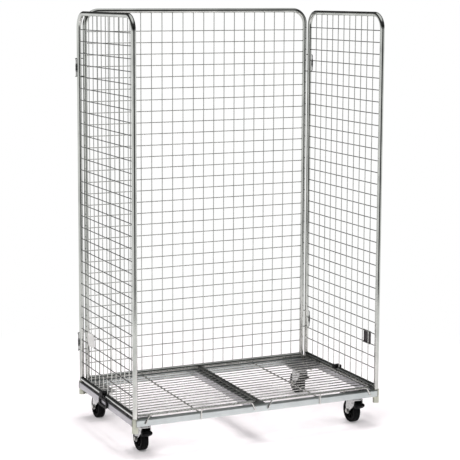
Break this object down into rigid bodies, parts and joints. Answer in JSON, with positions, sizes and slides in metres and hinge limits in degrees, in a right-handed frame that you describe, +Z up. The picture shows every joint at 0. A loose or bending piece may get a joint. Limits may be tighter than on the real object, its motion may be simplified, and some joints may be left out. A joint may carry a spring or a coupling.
{
  "type": "roll cage container",
  "caption": "Wheeled wire mesh cage with an open front, lift-out side and back panels, a wire deck and braked swivel casters.",
  "frame": {"origin": "on the ground, under the middle of the cage's overall box", "axes": "+X to the right seen from the open front, +Y from the open front to the back panel, +Z up"},
  "size_m": [1.1548, 0.6766, 1.7865],
  "materials": {
    "zinc_tube": "bright zinc plated, glossy",
    "zinc_wire": "bright zinc plated wire",
    "zinc_rail": "zinc plated, satin",
    "zinc_socket": "zinc plated, satin, slightly yellow",
    "plate": "satin, bare",
    "black_plastic": "moulded, matte",
    "caster_steel": "zinc plated pressed sheet",
    "caster_bolt": "zinc plated",
    "wheel_plastic": "moulded",
    "tread": "solid rubber"
  },
  "bodies": {
    "base": {"front_rail": "zinc_rail", "rear_rail": "zinc_rail", "left_rail": "zinc_rail", "right_rail": "zinc_rail", "centre_beam": "zinc_rail", "corner_gussets": "zinc_rail", "front_left_socket": "zinc_socket", "front_right_socket": "zinc_socket", "rear_left_socket": "zinc_socket", "rear_right_socket": "zinc_socket", "back_panel_sockets": "zinc_socket", "left_deck_border": "zinc_tube", "left_deck_grid": "zinc_wire", "left_deck_lip": "zinc_wire", "right_deck_border": "zinc_tube", "right_deck_grid": "zinc_wire", "right_deck_lip": "zinc_wire", "front_left_caster_plate": "caster_steel", "front_left_caster_kingpin": "caster_steel", "front_right_caster_plate": "caster_steel", "front_right_caster_kingpin": "caster_steel", "rear_left_caster_plate": "caster_steel", "rear_left_caster_kingpin": "caster_steel", "rear_right_caster_plate": "caster_steel", "rear_right_caster_kingpin": "caster_steel", "caster_bolts": "caster_bolt"},
    "left_panel": {"left_panel_frame": "zinc_tube", "left_panel_bottom_tube": "zinc_tube", "left_panel_mesh": "zinc_wire", "left_name_plate": "plate", "left_clip": "black_plastic"},
    "right_panel": {"right_panel_frame": "zinc_tube", "right_panel_bottom_tube": "zinc_tube", "right_panel_mesh": "zinc_wire", "right_name_plate": "plate", "right_clip": "black_plastic"},
    "back_panel": {"back_panel_frame": "zinc_tube", "back_panel_bottom_tube": "zinc_tube", "back_panel_mesh": "zinc_wire", "back_panel_clasps": "zinc_wire"},
    "front_left_swivel": {"front_left_caster_fork": "caster_steel", "front_left_caster_axle": "caster_bolt"},
    "front_left_wheel": {"front_left_caster_hub": "wheel_plastic", "front_left_caster_tyre": "tread"},
    "front_left_pedal": {"front_left_caster_pedal": "black_plastic"},
    "front_right_swivel": {"front_right_caster_fork": "caster_steel", "front_right_caster_axle": "caster_bolt"},
    "front_right_wheel": {"front_right_caster_hub": "wheel_plastic", "front_right_caster_tyre": "tread"},
    "front_right_pedal": {"front_right_caster_pedal": "black_plastic"},
    "rear_left_swivel": {"rear_left_caster_fork": "caster_steel", "rear_left_caster_axle": "caster_bolt"},
    "rear_left_wheel": {"rear_left_caster_hub": "wheel_plastic", "rear_left_caster_tyre": "tread"},
    "rear_left_pedal": {"rear_left_caster_pedal": "black_plastic"},
    "rear_right_swivel": {"rear_right_caster_fork": "caster_steel", "rear_right_caster_axle": "caster_bolt"},
    "rear_right_wheel": {"rear_right_caster_hub": "wheel_plastic", "rear_right_caster_tyre": "tread"},
    "rear_right_pedal": {"rear_right_caster_pedal": "black_plastic"}
  },
  "joints": [
    {"name": "left_panel_lift", "type": "slide", "parent": "base", "child": "left_panel", "axis": [0, 0, 1], "range_m": [0, 0.08]},
    {"name": "right_panel_lift", "type": "slide", "parent": "base", "child": "right_panel", "axis": [0, 0, 1], "range_m": [0, 0.08]},
    {"name": "back_panel_lift", "type": "slide", "parent": "base", "child": "back_panel", "axis": [0, 0, 1], "range_m": [0, 0.08]},
    {"name": "front_left_swivel_turn", "type": "hinge", "parent": "base", "child": "front_left_swivel", "pos_m": [-0.495, -0.252, 0.11], "axis": [0, 0, 1], "continuous": true},
    {"name": "front_left_wheel_spin", "type": "hinge", "parent": "front_left_swivel", "child": "front_left_wheel", "pos_m": [-0.495, -0.222, 0.05], "axis": [1, 0, 0], "continuous": true},
    {"name": "front_left_brake_press", "type": "hinge", "parent": "front_left_swivel", "child": "front_left_pedal", "pos_m": [-0.495, -0.262, 0.094], "axis": [1, 0, 0], "range_deg": [0, 9]},
    {"name": "front_right_swivel_turn", "type": "hinge", "parent": "base", "child": "front_right_swivel", "pos_m": [0.495, -0.252, 0.11], "axis": [0, 0, 1], "continuous": true},
    {"name": "front_right_wheel_spin", "type": "hinge", "parent": "front_right_swivel", "child": "front_right_wheel", "pos_m": [0.495, -0.222, 0.05], "axis": [1, 0, 0], "continuous": true},
    {"name": "front_right_brake_press", "type": "hinge", "parent": "front_right_swivel", "child": "front_right_pedal", "pos_m": [0.495, -0.262, 0.094], "axis": [1, 0, 0], "range_deg": [0, 9]},
    {"name": "rear_left_swivel_turn", "type": "hinge", "parent": "base", "child": "rear_left_swivel", "pos_m": [-0.495, 0.252, 0.11], "axis": [0, 0, 1], "continuous": true},
    {"name": "rear_left_wheel_spin", "type": "hinge", "parent": "rear_left_swivel", "child": "rear_left_wheel", "pos_m": [-0.495, 0.282, 0.05], "axis": [1, 0, 0], "continuous": true},
    {"name": "rear_left_brake_press", "type": "hinge", "parent": "rear_left_swivel", "child": "rear_left_pedal", "pos_m": [-0.495, 0.242, 0.094], "axis": [1, 0, 0], "range_deg": [0, 9]},
    {"name": "rear_right_swivel_turn", "type": "hinge", "parent": "base", "child": "rear_right_swivel", "pos_m": [0.495, 0.252, 0.11], "axis": [0, 0, 1], "continuous": true},
    {"name": "rear_right_wheel_spin", "type": "hinge", "parent": "rear_right_swivel", "child": "rear_right_wheel", "pos_m": [0.495, 0.282, 0.05], "axis": [1, 0, 0], "continuous": true},
    {"name": "rear_right_brake_press", "type": "hinge", "parent": "rear_right_swivel", "child": "rear_right_pedal", "pos_m": [0.495, 0.242, 0.094], "axis": [1, 0, 0], "range_deg": [0, 9]}
  ]
}
